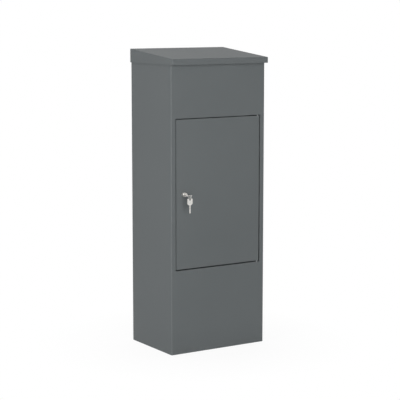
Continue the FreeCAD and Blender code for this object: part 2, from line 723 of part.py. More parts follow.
def double_d(sketch, across, up, radius, half_flat):
    """A circle with two upright flats."""
    centre = Vector(number(across), number(up), 0)
    reach = math.acos(number(half_flat) / number(radius))
    ring = Part.Circle(centre, Vector(0, 0, 1), number(radius))
    top = sketch.addGeometry(Part.ArcOfCircle(ring, reach, math.pi - reach), False)
    low = sketch.addGeometry(Part.ArcOfCircle(ring, math.pi + reach, 2 * math.pi - reach), False)
    arcs = [sketch.Geometry[top], sketch.Geometry[low]]
    left = sketch.addGeometry(Part.LineSegment(arcs[0].EndPoint, arcs[1].StartPoint), False)
    right = sketch.addGeometry(Part.LineSegment(arcs[1].EndPoint, arcs[0].StartPoint), False)
    for one, other in ((top, left), (left, low), (low, right), (right, top)):
        join_points(sketch, one, 2, other, 1)
    for arc in (top, low):
        pin_point(sketch, arc, 3, across, up)
        rule = Sketcher.Constraint("Radius", arc, number(radius))
        sketch.setExpression(f"Constraints[{sketch.addConstraint(rule)}]", formula(radius))
        pin_point(sketch, arc, 1, f"({across} {'+' if arc == top else '-'} {half_flat})", None)
        pin_point(sketch, arc, 2, f"({across} {'-' if arc == top else '+'} {half_flat})", None)


def build_door_pan():
    body = new_body("door_pan")
    block = new_sketch(body, "XZ_Plane", "door_block", f"-{FRONT}")
    rectangle(block, DOOR_LEFT, DOOR_BOTTOM, DOOR_RIGHT, DOOR_TOP)
    pad(body, block, "door_depth", reverse=True)
    rim = edges_at(body, "Z", x=DOOR_LEFT, y=FRONT) + edges_at(body, "Z", x=DOOR_RIGHT, y=FRONT)
    rim += edges_at(body, "X", y=FRONT, z=DOOR_BOTTOM) + edges_at(body, "X", y=FRONT, z=DOOR_TOP)
    round_edges(body, rim, "door_edge_radius")
    inside = new_sketch(body, "XZ_Plane", "door_inside", f"-({FRONT} + sheet)")
    rectangle(inside, f"({DOOR_LEFT} + sheet)", f"({DOOR_BOTTOM} + sheet)",
              f"({DOOR_RIGHT} - sheet)", f"({DOOR_TOP} - sheet)")
    pocket(body, inside, "door_depth")
    reliefs = new_sketch(body, "XZ_Plane", "door_corner_reliefs", f"-({FRONT} + 2 * sheet)")
    for x, x_in in ((f"({DOOR_LEFT} - sheet)", f"({DOOR_LEFT} + door_corner_relief)"),
                    (f"({DOOR_RIGHT} - door_corner_relief)", f"({DOOR_RIGHT} + sheet)")):
        for z, z_in in ((f"({DOOR_BOTTOM} - sheet)", f"({DOOR_BOTTOM} + door_corner_relief)"),
                        (f"({DOOR_TOP} - door_corner_relief)", f"({DOOR_TOP} + sheet)")):
            rectangle(reliefs, x, z, x_in, z_in)
    pocket(body, reliefs, "door_depth")
    lock = new_sketch(body, "XZ_Plane", "door_lock_hole", f"-{FRONT}")
    double_d(lock, LOCK_X, "lock_height", "(barrel_diameter / 2 + barrel_clearance)",
             "(barrel_flats / 2 + barrel_clearance)")
    pocket(body, lock, "(2 * sheet)")
    bushes = new_sketch(body, "XY_Plane", "door_bush_holes", f"({DOOR_TOP} + sheet)")
    circle(bushes, PIVOT_X, PIVOT_Y, f"({BUSH_RADIUS} + pivot_clearance)")
    pocket(body, bushes, f"({DOOR_TOP} - {DOOR_BOTTOM} + 2 * sheet)")


# Door pivots: headed pins in the frame, flanged nylon bushes in the door

def build_pivots():
    radius, head = "(pivot_diameter / 2)", "(pivot_head_diameter / 2)"
    bevel = "(pivot_diameter / 8)"
    upper = new_body("upper_pivot_pin", PIVOT_X, PIVOT_Y)
    section = new_sketch(upper, "XZ_Plane", "upper_pin_section")
    seat, tip = f"({OPENING_TOP} + sheet)", f"({DOOR_TOP} - bush_length - sheet)"
    outline(section, [("0", tip), (f"({radius} - {bevel})", tip), (radius, f"({tip} + {bevel})"),
                      (radius, seat), (head, seat), (head, f"({seat} + pivot_head_height)"),
                      ("0", f"({seat} + pivot_head_height)")])
    revolve(upper, section, "V_Axis")

    lower = new_body("lower_pivot_pin", PIVOT_X, PIVOT_Y)
    section = new_sketch(lower, "XZ_Plane", "lower_pin_section")
    seat, tip = "(opening_bottom - sheet)", f"({DOOR_BOTTOM} + bush_length + sheet)"
    collar, collar_top = "(pivot_collar_diameter / 2)", f"({DOOR_BOTTOM} - bush_stand - pivot_play)"
    outline(section, [("0", f"({seat} - pivot_head_height)"), (head, f"({seat} - pivot_head_height)"),
                      (head, seat), (radius, seat), (radius, "opening_bottom"), (collar, "opening_bottom"),
                      (collar, collar_top), (radius, collar_top), (radius, f"({tip} - {bevel})"),
                      (f"({radius} - {bevel})", tip), ("0", tip)])
    revolve(lower, section, "V_Axis")

    for label, edge, way in (("upper_pivot_bush", DOOR_TOP, -1), ("lower_pivot_bush", DOOR_BOTTOM, 1)):
        bush = new_body(label, PIVOT_X, PIVOT_Y)
        section = new_sketch(bush, "XZ_Plane", f"{label}_section")
        rim, rim_start = f"({BUSH_RADIUS} + bush_rim)", f"({edge} + {way} * sheet)"
        rim_end = f"({rim_start} + {way} * bush_rim_thickness)"
        outer_end, inner_end = f"({edge} - {way} * bush_stand)", f"({edge} + {way} * bush_length)"
        outline(section, [(PIVOT_BORE, outer_end), (BUSH_RADIUS, outer_end), (BUSH_RADIUS, rim_start),
                          (rim, rim_start), (rim, rim_end), (BUSH_RADIUS, rim_end),
                          (BUSH_RADIUS, inner_end), (PIVOT_BORE, inner_end)])
        revolve(bush, section, "V_Axis")


# Cam lock, with y measured inwards from the door's face

def lock_body(label):
    return new_body(label, LOCK_X, FRONT, "lock_height")


def build_lock_housing():
    body = lock_body("lock_housing")
    section = new_sketch(body, "XY_Plane", "housing_section")
    bore = "(plug_diameter / 2 + plug_clearance)"
    face, base, barrel = "(lock_face_diameter / 2)", "(lock_base_diameter / 2)", "(barrel_diameter / 2)"
    bevel = "(lock_base_thickness / 3)"
    outline(section, [(bore, "(-lock_protrusion)"), (f"({face} - {bevel})", "(-lock_protrusion)"),
                      (face, f"({bevel} - lock_protrusion)"), (face, "(-lock_base_thickness)"),
                      (f"({base} - {bevel})", "(-lock_base_thickness)"),
                      (base, f"({bevel} - lock_base_thickness)"), (base, "0"), (barrel, "0"),
                      (barrel, "barrel_length"), (bore, "barrel_length")])
    revolve(body, section, "V_Axis")
    flats = new_sketch(body, "XY_Plane", "barrel_flat_cuts")
    right_cut = ("(barrel_flats / 2)", "barrel_diameter")
    left_cut = ("(-barrel_diameter)", "(-barrel_flats / 2)")
    for near, far in (right_cut, left_cut):
        rectangle(flats, near, "0", far, "(2 * barrel_length)")
    pocket(body, flats, "through", both=True)


def build_lock_fasteners():
    washer = lock_body("lock_washer")
    ring = new_sketch(washer, "XZ_Plane", "lock_washer_ring", "(-sheet)")
    circle(ring, "0", "0", "(lock_washer_diameter / 2)")
    circle(ring, "0", "0", "(barrel_diameter / 2 + barrel_clearance)")
    pad(washer, ring, "lock_washer_thickness", reverse=True)
    nut = lock_body("lock_nut")
    blank = new_sketch(nut, "XZ_Plane", "lock_nut_blank", "(-sheet - lock_washer_thickness)")
    hexagon(blank, "0", "0", "lock_nut_flats")
    circle(blank, "0", "0", "(barrel_diameter / 2 + hinge_clearance)")
    pad(nut, blank, "lock_nut_height", reverse=True)


def build_lock_plug():
    body = lock_body("lock_plug")
    section = new_sketch(body, "XY_Plane", "plug_section")
    outline(section, [("0", PLUG_FACE), ("(plug_diameter / 2)", PLUG_FACE),
                      ("(plug_diameter / 2)", PLUG_BACK), ("0", PLUG_BACK)])
    revolve(body, section, "V_Axis")
    boss = new_sketch(body, "XZ_Plane", "plug_square", f"(-{PLUG_BACK})")
    rectangle(boss, "(-cam_square / 2)", "(-cam_square / 2)", "(cam_square / 2)", "(cam_square / 2)")
    pad(body, boss, "(cam_thickness - fit_clearance)", reverse=True)
    keyway = new_sketch(body, "XZ_Plane", "plug_keyway", f"(-{PLUG_FACE})")
    wide, high = "(key_blade_width / 2 + keyway_clearance)", "(key_thickness / 2 + keyway_clearance)"
    rectangle(keyway, f"(-{wide})", f"(-{high})", wide, high)
    pocket(body, keyway, "keyway_depth")
    hole = new_sketch(body, "XZ_Plane", "plug_screw_hole", f"(-{CAM_BACK})")
    circle(hole, "0", "0", "(cam_screw_diameter / 2 + hinge_clearance)")
    pocket(body, hole, "(cam_screw_length + fit_clearance)", reverse=True)


def build_lock_cam():
    body = lock_body("lock_cam")
    hub = new_sketch(body, "XZ_Plane", "cam_hub", f"(-{PLUG_BACK})")
    circle(hub, "0", "0", "(cam_hub_diameter / 2)")
    pad(body, hub, "cam_thickness", reverse=True)
    arm = new_sketch(body, "XZ_Plane", "cam_arm", f"(-{PLUG_BACK})")
    rectangle(arm, "(-cam_width / 2)", "(-cam_length)", "(cam_width / 2)", "0")
    pad(body, arm, "cam_thickness", reverse=True)
    tips = []
    for x in ("(-cam_width / 2)", "(cam_width / 2)"):
        tips += edges_at(body, "Y", x=x, z="(-cam_length)")
    round_edges(body, tips, "cam_tip_radius")
    hole = new_sketch(body, "XZ_Plane", "cam_square_hole", f"(-{PLUG_BACK})")
    side = "(cam_square / 2 + hinge_clearance)"
    rectangle(hole, f"(-{side})", f"(-{side})", side, side)
    pocket(body, hole, "(2 * cam_thickness)")


def build_cam_fasteners():
    washer = lock_body("cam_washer")
    ring = new_sketch(washer, "XZ_Plane", "cam_washer_ring", f"(-{CAM_BACK})")
    circle(ring, "0", "0", "(cam_washer_diameter / 2)")
    circle(ring, "0", "0", "(cam_screw_diameter / 2 + fit_clearance)")
    pad(washer, ring, "cam_washer_thickness", reverse=True)
    screw = lock_body("cam_screw")
    section = new_sketch(screw, "XY_Plane", "cam_screw_section")
    seat = f"({CAM_BACK} + cam_washer_thickness)"
    shank, head = "(cam_screw_diameter / 2)", "(cam_screw_head_diameter / 2)"
    crown = f"({seat} + cam_screw_head_height)"
    tip = f"({CAM_BACK} - cam_screw_length)"
    outline(section, [("0", tip), (shank, tip), (shank, seat), (head, seat),
                      (head, f"({seat} + cam_screw_head_height / 2)"),
                      ("(cam_screw_crown_diameter / 2)", crown), ("0", crown)])
    revolve(screw, section, "V_Axis")


# Keys, with y measured from the plug's face towards the blade's tip

def build_key(label, place):
    body = new_body(label, *place)
    half, blade = "(key_bow_width / 2)", "(key_blade_width / 2)"
    shoulder, end = "(-key_neck - key_shoulder)", f"(-{KEY_END})"
    taper, tip = "(key_blade_length - key_tip)", "key_blade_length"
    point = "(key_blade_width / 8)"
    blank = new_sketch(body, "XY_Plane", f"{label}_blank")
    outline(blank, [(blade, taper), (point, tip), (f"-{point}", tip), (f"-{blade}", taper),
                    (f"-{blade}", "(-key_neck)"), (f"-{half}", shoulder), (f"-{half}", end),
                    (half, end), (half, shoulder), (blade, "(-key_neck)")])
    pad(body, blank, "key_thickness", both=True)
    bow = []
    for x in (f"-{half}", half):
        bow += edges_at(body, "Z", x=x, y=end)
    round_edges(body, bow, "key_bow_radius")
    hole = new_sketch(body, "XY_Plane", f"{label}_hole")
    circle(hole, "0", f"({end} + key_hole_inset)", "(key_hole_diameter / 2)")
    pocket(body, hole, "through", both=True)
    cuts = new_sketch(body, "XY_Plane", f"{label}_cuts")
    outside = f"({blade} + fit_clearance)"
    for index, (reach_share, depth_share) in enumerate(KEY_CUTS):
        middle = f"({taper} - key_cut_start - {index} * key_cut_pitch)"
        reach = f"({reach_share} * key_cut_pitch)"
        depth = f"({depth_share} * key_cut_depth)"
        outline(cuts, [(outside, f"({middle} - {reach})"), (f"({blade} - {depth})", middle),
                       (outside, f"({middle} + {reach})")])
    pocket(body, cuts, "through", both=True)
    return body


def build_keys():
    build_key("key", (LOCK_X, f"({FRONT} + {PLUG_FACE})", "lock_height"))
    hang = f"({RING_Z} - {RING_BORE} + ring_hang_gap + {KEY_BAR} - {KEY_END})"
    spare = build_key("spare_key", (LOCK_X, RING_Y, hang))
    spare.Placement = Placement(spare.Placement.Base, Rotation(Vector(1, 0, 0), -90))

    ring = new_body("key_ring", LOCK_X, RING_Y, RING_Z)
    section = new_sketch(ring, "XY_Plane", "ring_section")
    outer, side, bevel = f"({RING_BORE} + ring_thickness)", "(ring_width / 2)", "(ring_thickness / 4)"
    outline(section, [("0", f"({outer} - ring_groove)"), ("ring_groove", outer),
                      (f"({side} - {bevel})", outer), (side, f"({outer} - {bevel})"),
                      (side, f"({RING_BORE} + {bevel})"), (f"({side} - {bevel})", RING_BORE),
                      ("ring_groove", RING_BORE), ("0", f"({RING_BORE} + ring_groove)"),
                      ("(-ring_groove)", RING_BORE), (f"({bevel} - {side})", RING_BORE),
                      (f"(-{side})", f"({RING_BORE} + {bevel})"), (f"(-{side})", f"({outer} - {bevel})"),
                      (f"({bevel} - {side})", outer), ("(-ring_groove)", outer)])
    revolve(ring, section, "H_Axis")


build_cabinet_wrap()
build_back_panel()
build_floor_pan()
build_lid_cap()
build_lid_hinge()
build_hinge_rivets()
build_drop_tray()
build_tray_fasteners()
build_buffers()
build_door_pan()
build_pivots()
build_lock_housing()
build_lock_fasteners()
build_lock_plug()
build_lock_cam()
build_cam_fasteners()
build_keys()
doc.recompute()

# Every object has to be sound before anything is written.
for item in doc.Objects:
    if "Invalid" in item.State or "Error" in item.State:
        raise RuntimeError(f"{item.Label} failed: {item.State}")
bodies = [item for item in doc.Objects if item.TypeId == "PartDesign::Body"]
for body in bodies:
    if body.Shape.isNull() or not body.Shape.isValid():
        raise RuntimeError(f"{body.Label} has no sound shape")
os.makedirs("parts", exist_ok=True)
for body in bodies:
    body.Shape.exportStep(f"parts/{body.Label}.step")
    print(body.Label, len(body.Shape.Solids), round(body.Shape.Volume, 1), body.Shape.BoundBox)
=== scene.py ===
import json
import math

import bmesh
import bpy
from mathutils import Matrix, Vector


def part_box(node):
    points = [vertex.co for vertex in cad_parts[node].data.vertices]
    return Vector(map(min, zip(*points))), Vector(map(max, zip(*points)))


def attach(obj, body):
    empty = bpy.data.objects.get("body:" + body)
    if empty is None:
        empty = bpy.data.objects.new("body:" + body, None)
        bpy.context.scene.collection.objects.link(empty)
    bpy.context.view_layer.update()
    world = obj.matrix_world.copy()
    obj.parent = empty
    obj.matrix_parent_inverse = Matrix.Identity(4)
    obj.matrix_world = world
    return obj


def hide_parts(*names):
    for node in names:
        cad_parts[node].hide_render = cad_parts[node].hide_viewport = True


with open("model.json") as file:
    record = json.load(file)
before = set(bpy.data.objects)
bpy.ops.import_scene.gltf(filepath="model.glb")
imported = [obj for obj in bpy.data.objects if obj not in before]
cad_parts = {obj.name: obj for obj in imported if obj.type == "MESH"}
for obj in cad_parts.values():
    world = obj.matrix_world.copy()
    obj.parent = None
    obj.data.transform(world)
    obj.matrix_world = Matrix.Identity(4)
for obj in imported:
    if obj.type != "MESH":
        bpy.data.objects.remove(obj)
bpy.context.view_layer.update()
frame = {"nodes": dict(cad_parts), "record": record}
nodes = frame["nodes"]

MM = 0.001


# Node helpers

# The colour sockets of a Mix node, which share their names with its other kinds
MIX_FACTOR, MIX_FIRST, MIX_SECOND, MIX_RESULT = 0, 6, 7, 2


def new_group(name, inputs, outputs):
    """An empty node group of plain values: the inputs carry their usual values."""
    group = bpy.data.node_groups.new(name, "ShaderNodeTree")
    for label, value in inputs.items():
        socket = group.interface.new_socket(label, in_out="INPUT", socket_type="NodeSocketFloat")
        socket.default_value = value
    for label in outputs:
        group.interface.new_socket(label, in_out="OUTPUT", socket_type="NodeSocketFloat")
    return group, group.nodes.new("NodeGroupInput"), group.nodes.new("NodeGroupOutput")


def add_node(tree, kind, **settings):
    node = tree.nodes.new(kind)
    for name, value in settings.items():
        setattr(node, name, value)
    return node


def feed(tree, socket, value):
    """Sets a socket to a number or a colour, or links another node's output to it."""
    if isinstance(value, (int, float, tuple)):
        socket.default_value = value
    else:
        tree.links.new(value, socket)


def noise(tree, vector, scale, detail, roughness=0.5):
    node = tree.nodes.new("ShaderNodeTexNoise")
    for label, value in (("Vector", vector), ("Scale", scale), ("Detail", detail),
                         ("Roughness", roughness)):
        feed(tree, node.inputs[label], value)
    return node.outputs["Fac"]


def math_node(tree, operation, *values):
    node = add_node(tree, "ShaderNodeMath", operation=operation)
    for socket, value in zip(node.inputs, values):
        feed(tree, socket, value)
    return node.outputs["Value"]


def spread(tree, value, low, high, to_low=0.0, to_high=1.0):
    """A value moved from one range to another, held at its ends."""
    node = tree.nodes.new("ShaderNodeMapRange")
    for label, number in (("Value", value), ("From Min", low), ("From Max", high),
                          ("To Min", to_low), ("To Max", to_high)):
        feed(tree, node.inputs[label], number)
    return node.outputs["Result"]


def mix_colour(tree, factor, first, second):
    node = add_node(tree, "ShaderNodeMix", data_type="RGBA")
    for place, value in ((MIX_FACTOR, factor), (MIX_FIRST, first), (MIX_SECOND, second)):
        feed(tree, node.inputs[place], value)
    return node.outputs[MIX_RESULT]


def object_place(tree):
    return tree.nodes.new("ShaderNodeTexCoord").outputs["Object"]


# Node groups that several finishes share

PEBBLE_SHARE, PEEL_SHARE = 0.6, 0.4
PEEL_SCALE = 0.28
SCRATCH_TURNS = ((0.5, 0.2, 0.35), (-0.8, 0.6, 1.25))
FOLD_CORE = 0.45


def make_powder_grain():
    """Fine pebbled skin of baked powder: its height, its flecks and a slow drift across a panel."""
    group, source, result = new_group("powder_grain", {"Grain Scale": 900.0, "Drift Scale": 3.5},
                                      ("Height", "Drift", "Fleck"))
    place = object_place(group)
    grain_scale = source.outputs["Grain Scale"]
    pebble = noise(group, place, grain_scale, detail=3.0, roughness=0.55)
    peel = noise(group, place, math_node(group, "MULTIPLY", grain_scale, PEEL_SCALE), detail=1.0)
    height = math_node(group, "ADD", math_node(group, "MULTIPLY", pebble, PEBBLE_SHARE),
                       math_node(group, "MULTIPLY", peel, PEEL_SHARE))
    drift = noise(group, place, source.outputs["Drift Scale"], detail=3.0)
    group.links.new(height, result.inputs["Height"])
    group.links.new(spread(group, drift, 0.3, 0.7), result.inputs["Drift"])
    group.links.new(spread(group, pebble, 0.62, 0.72), result.inputs["Fleck"])
    return group


def make_fine_scratches():
    """Thin crossing rub marks for bare metal, and a haze between them."""
    group, source, result = new_group("fine_scratches", {"Length Scale": 60.0, "Width Scale": 2600.0},
                                      ("Marks", "Haze"))
    place = object_place(group)
    marks = []
    for turn in SCRATCH_TURNS:
        turned = add_node(group, "ShaderNodeMapping", vector_type="POINT")
        turned.inputs["Rotation"].default_value = turn
        group.links.new(place, turned.inputs["Vector"])
        scale = group.nodes.new("ShaderNodeCombineXYZ")
        for axis, label in (("X", "Width Scale"), ("Y", "Length Scale"), ("Z", "Length Scale")):
            group.links.new(source.outputs[label], scale.inputs[axis])
        stretched = add_node(group, "ShaderNodeVectorMath", operation="MULTIPLY")
        group.links.new(turned.outputs["Vector"], stretched.inputs[0])
        group.links.new(scale.outputs["Vector"], stretched.inputs[1])
        streaks = noise(group, stretched.outputs["Vector"], scale=1.0, detail=2.0)
        marks.append(spread(group, streaks, 0.55, 0.72))
    haze = noise(group, place, scale=160.0, detail=4.0)
    group.links.new(math_node(group, "MAXIMUM", *marks), result.inputs["Marks"])
    group.links.new(spread(group, haze, 0.35, 0.65), result.inputs["Haze"])
    return group


def make_painted_fold_highlight():
    """Mask of a wrapped sheet's two front folds, where the coat is made paler as a painted highlight."""
    group, source, result = new_group("painted_fold_highlight", {"Half Width": 0.183, "Front": -0.13, "Radius": 0.003},
                                      ("Highlight",))
    place = object_place(group)
    split = group.nodes.new("ShaderNodeSeparateXYZ")
    group.links.new(place, split.inputs["Vector"])
    radius = source.outputs["Radius"]
    from_side = math_node(group, "SUBTRACT", source.outputs["Half Width"],
                          math_node(group, "ABSOLUTE", split.outputs["X"]))
    from_front = math_node(group, "SUBTRACT", split.outputs["Y"], source.outputs["Front"])
    near = math_node(group, "MULTIPLY", radius, FOLD_CORE)
    folds = math_node(group, "MULTIPLY", spread(group, from_side, radius, near),
                      spread(group, from_front, radius, near))
    # Noise that breaks up the painted highlight along the folds a little
    unevenness = noise(group, place, scale=240.0, detail=2.0)
    broken = spread(group, unevenness, 0.25, 0.6, to_low=0.8, to_high=1.0)
    group.links.new(math_node(group, "MULTIPLY", folds, broken), result.inputs["Highlight"])
    return group


powder_grain = make_powder_grain()
fine_scratches = make_fine_scratches()
painted_fold_highlight = make_painted_fold_highlight()


# Finishes

COAT_DARK = (0.107, 0.118, 0.121, 1.0)
COAT_LIGHT = (0.115, 0.126, 0.129, 1.0)
COAT_FLECK = (0.17, 0.18, 0.185, 1.0)
# Paler coat tone painted along the wrap's front folds as a highlight
COAT_PAINTED_HIGHLIGHT = (0.131, 0.1425, 0.1455, 1.0)
COAT_FLECK_SHARE = 0.16
COAT_ROUGHNESS = (0.56, 0.62)
COAT_SPECULAR = 0.2


def new_finish(name):
    """A material with a Principled shader and nothing else yet."""
    finish = bpy.data.materials.new(name)
    finish.use_nodes = True
    tree = finish.node_tree
    return finish, tree, tree.nodes["Principled BSDF"]


def put_group(tree, group, **values):
    node = add_node(tree, "ShaderNodeGroup", node_tree=group)
    for label, value in values.items():
        node.inputs[label.replace("_", " ")].default_value = value
    return node.outputs


def add_bump(tree, shader, height, strength, distance):
    """Bump from a height, with its distance in millimetres."""
    bump = tree.nodes.new("ShaderNodeBump")
    bump.inputs["Strength"].default_value = strength
    bump.inputs["Distance"].default_value = distance * MM
    tree.links.new(height, bump.inputs["Height"])
    tree.links.new(bump.outputs["Normal"], shader.inputs["Normal"])


def make_grey_coat(name, with_painted_fold_highlight=False):
    """Baked powder coat; on the wrap it is painted paler along the front folds as a highlight."""
    finish, tree, shader = new_finish(name)
    grain = put_group(tree, powder_grain, Grain_Scale=900.0, Drift_Scale=3.5)
    tone = mix_colour(tree, grain["Drift"], COAT_DARK, COAT_LIGHT)
    flecks = math_node(tree, "MULTIPLY", grain["Fleck"], COAT_FLECK_SHARE)
    colour = mix_colour(tree, flecks, tone, COAT_FLECK)
    if with_painted_fold_highlight:
        # Painted highlight: the coat is made paler along the wrap's front folds
        fold_highlight = put_group(tree, painted_fold_highlight)["Highlight"]
        colour = mix_colour(tree, fold_highlight, colour, COAT_PAINTED_HIGHLIGHT)
    tree.links.new(colour, shader.inputs["Base Color"])
    roughness = spread(tree, grain["Drift"], 0.0, 1.0, *COAT_ROUGHNESS)
    tree.links.new(roughness, shader.inputs["Roughness"])
    shader.inputs["Specular IOR Level"].default_value = COAT_SPECULAR
    add_bump(tree, shader, grain["Height"], strength=0.22, distance=0.25)
    return finish


def make_bare_metal(name, dark, light, smooth, rough):
    """Plated or bare metal with rub marks; the roughness runs between two values."""
    finish, tree, shader = new_finish(name)
    rubs = put_group(tree, fine_scratches)
    tree.links.new(mix_colour(tree, rubs["Haze"], dark, light), shader.inputs["Base Color"])
    roughness = spread(tree, rubs["Marks"], 0.0, 1.0, smooth, rough)
    tree.links.new(roughness, shader.inputs["Roughness"])
    shader.inputs["Metallic"].default_value = 1.0
    add_bump(tree, shader, rubs["Marks"], strength=0.08, distance=0.05)
    return finish


def make_soft_matt(name, dark, light, roughness):
    """Rubber or nylon with a faint moulded grain."""
    finish, tree, shader = new_finish(name)
    grain = put_group(tree, powder_grain, Grain_Scale=1600.0, Drift_Scale=120.0)
    tree.links.new(mix_colour(tree, grain["Drift"], dark, light), shader.inputs["Base Color"])
    shader.inputs["Roughness"].default_value = roughness
    add_bump(tree, shader, grain["Height"], strength=0.15, distance=0.1)
    return finish


def dress(piece, finish):
    piece.data.materials.clear()
    piece.data.materials.append(finish)


# Each finish by its slot: metals with two tones and a range of roughness, soft ones with one roughness
FINISHES = {
    "grey_coat": make_grey_coat("grey_coat"),
    "zinc_plate": make_bare_metal("zinc_plate", (0.42, 0.43, 0.44, 1), (0.58, 0.58, 0.57, 1), 0.34, 0.48),
    "rivet_alloy": make_bare_metal("rivet_alloy", (0.58, 0.58, 0.59, 1), (0.7, 0.7, 0.71, 1), 0.3, 0.42),
    "chrome": make_bare_metal("lock_chrome", (0.68, 0.66, 0.63, 1), (0.76, 0.74, 0.71, 1), 0.32, 0.42),
    "nickel": make_bare_metal("key_nickel", (0.6, 0.59, 0.565, 1), (0.7, 0.69, 0.665, 1), 0.1, 0.2),
    "rubber": make_soft_matt("buffer_rubber", (0.012, 0.012, 0.012, 1), (0.022, 0.022, 0.021, 1), 0.72),
    "nylon": make_soft_matt("bush_nylon", (0.6, 0.58, 0.52, 1), (0.7, 0.68, 0.62, 1), 0.45),
}
# The wrap's coat, with a painted highlight along its front folds
wrap_coat = make_grey_coat("wrap_coat", with_painted_fold_highlight=True)
pin_steel = make_bare_metal("pin_steel", (0.27, 0.275, 0.28, 1), (0.36, 0.365, 0.37, 1), 0.46, 0.56)

for subpart in frame["record"]["subparts"]:
    dress(nodes[subpart["node"]], FINISHES[subpart["material_slot"]])
dress(nodes["cabinet_wrap"], wrap_coat)
for pin in ("upper_pivot_pin", "lower_pivot_pin"):
    dress(nodes[pin], pin_steel)


# Finer pieces, modelled in millimetres about Z and then set in their places

MERGE_REACH = 0.0005
SHARP_ANGLE = math.radians(35)
SOFT_EDGE_ANGLE = math.radians(50)
NUT_CORNER_CUT, NUT_END_INSET = 0.13, 0.06
WASHER_EDGE = 0.25
INWARDS = Matrix.Rotation(math.radians(-90), 4, "X")


def corners_of(node):
    """A node's lowest and highest corners, in millimetres."""
    low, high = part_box(node)
    return Vector(low) / MM, Vector(high) / MM


def middle_of(node):
    low, high = corners_of(node)
    return (low + high) / 2


def depth_of(node):
    """A node's length from front to back."""
    low, high = corners_of(node)
    return high.y - low.y


def facing_in(place):
    """Sets a form with its axis running from the front into the box."""
    return Matrix.Translation(place) @ INWARDS


def behind_front(node, depth=0.0):
    """Sets a form on a node's axis, running into the box from a depth behind the node's front."""
    middle = middle_of(node)
    return facing_in((middle.x, corners_of(node)[0].y + depth, middle.z))


def close_form(form):
    """Merges doubles, closes what is still open and turns the faces outwards."""
    bmesh.ops.remove_doubles(form, verts=form.verts, dist=MERGE_REACH)
    rims = [edge for edge in form.edges if edge.is_boundary]
    if rims:
        bmesh.ops.holes_fill(form, edges=rims, sides=0)
    bmesh.ops.recalc_face_normals(form, faces=form.faces)


def turn_profile(profile, steps):
    """A turned form from points of radius and height along its axis."""
    form = bmesh.new()
    corners = [form.verts.new((radius, 0, height)) for radius, height in profile]
    edges = [form.edges.new(pair) for pair in zip(corners, corners[1:])]
    bmesh.ops.spin(form, geom=corners + edges, cent=(0, 0, 0), axis=(0, 0, 1), angle=2 * math.pi,
                   steps=steps, use_merge=True)
    close_form(form)
    return form


def thread_profile(core, crest, pitch, start, end):
    """Points of a cut thread from its start to its end, at the core's radius at both."""
    points = []
    for turn in range(int((end - start) / pitch)):
        foot = start + turn * pitch
        points += [(core, foot), (core, foot + 0.15 * pitch),
                   (crest, foot + 0.45 * pitch), (crest, foot + 0.65 * pitch)]
    return points + [(core, end)]


def cut_across(form, point, way, clear_outer=False):
    """Cuts a form along a plane, and can take away what lies beyond it."""
    bmesh.ops.bisect_plane(form, geom=form.verts[:] + form.edges[:] + form.faces[:], dist=MERGE_REACH,
                           plane_co=point, plane_no=way, clear_outer=clear_outer)


def round_corners(form, corners, reach, segments):
    bmesh.ops.bevel(form, geom=corners, offset=reach, offset_type="OFFSET", affect="VERTICES",
                    segments=segments, profile=0.5, material=-1)


def hexagon_nut(flats, height):
    """A nut from z = 0 up, with its corners cut off; a thread stands in it, so its bore is left out."""
    form = bmesh.new()
    corner = flats / math.sqrt(3)
    bmesh.ops.create_cone(form, cap_ends=True, segments=6, radius1=corner, radius2=corner, depth=height)
    bmesh.ops.translate(form, vec=(0, 0, height / 2), verts=form.verts)
    round_corners(form, form.verts[:], NUT_CORNER_CUT * flats, segments=2)
    ends = [face for face in form.faces if abs(face.normal.z) > 0.99]
    bmesh.ops.inset_individual(form, faces=ends, thickness=NUT_END_INSET * flats, depth=0.0)
    bmesh.ops.recalc_face_normals(form, faces=form.faces)
    return form


def stamped_washer(bore, radius, thickness):
    """A washer from z = 0 up, with the edges that stamping leaves."""
    edge = WASHER_EDGE * thickness
    return turn_profile([(bore, edge), (bore + edge, 0), (radius - edge, 0), (radius, edge),
                         (radius, thickness - edge), (radius - edge, thickness),
                         (bore + edge, thickness), (bore, thickness - edge), (bore, edge)], steps=48)


def join_form(shape, form, place):
    """Adds a form to a shape in its place."""
    bmesh.ops.transform(form, matrix=place, verts=form.verts)
    mesh = bpy.data.meshes.new("form")
    form.to_mesh(mesh)
    form.free()
    shape.from_mesh(mesh)
    bpy.data.meshes.remove(mesh)


def join_forms(*forms_and_places):
    """One shape of forms, each in its place."""
    shape = bmesh.new()
    for form, place in forms_and_places:
        join_form(shape, form, place)
    return shape


def finish_piece(name, shape, body, slot, *stands_for, soft_edge=0.0):
    """Makes a shape a piece that rides a body, in a slot's finish, in place of CAD nodes."""
    bmesh.ops.scale(shape, vec=(MM, MM, MM), verts=shape.verts)
    mesh = bpy.data.meshes.new(name)
    shape.to_mesh(mesh)
    shape.free()
    mesh.shade_smooth()
    mesh.set_sharp_from_angle(angle=SHARP_ANGLE)
    piece = bpy.data.objects.new(name, mesh)
    bpy.context.scene.collection.objects.link(piece)
    if soft_edge:
        edge = piece.modifiers.new("soft_edge", "BEVEL")
        edge.width = soft_edge * MM
        edge.segments = 2
        edge.limit_method = "ANGLE"
        edge.angle_limit = SOFT_EDGE_ANGLE
    dress(piece, FINISHES[slot])
    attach(piece, body)
    if stands_for:
        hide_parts(*stands_for)


# Lock

LOCK_BORE = 4.55
CASE_LENGTH = 15.0
BARREL_LENGTH = 20.5
BARREL_HALF_FLATS = 5.5
LOCK_NUT_FLATS = 17.0
# Node, bore's radius and body of each washer
LOCK_WASHERS = (("lock_washer", 6.4, "door"), ("cam_washer", 1.7, "lock_core"))
CAM_SCREW_HEAD = 2.0
CROSS_RADIUS = 1.7
CROSS_HALF_WIDTH = 0.45


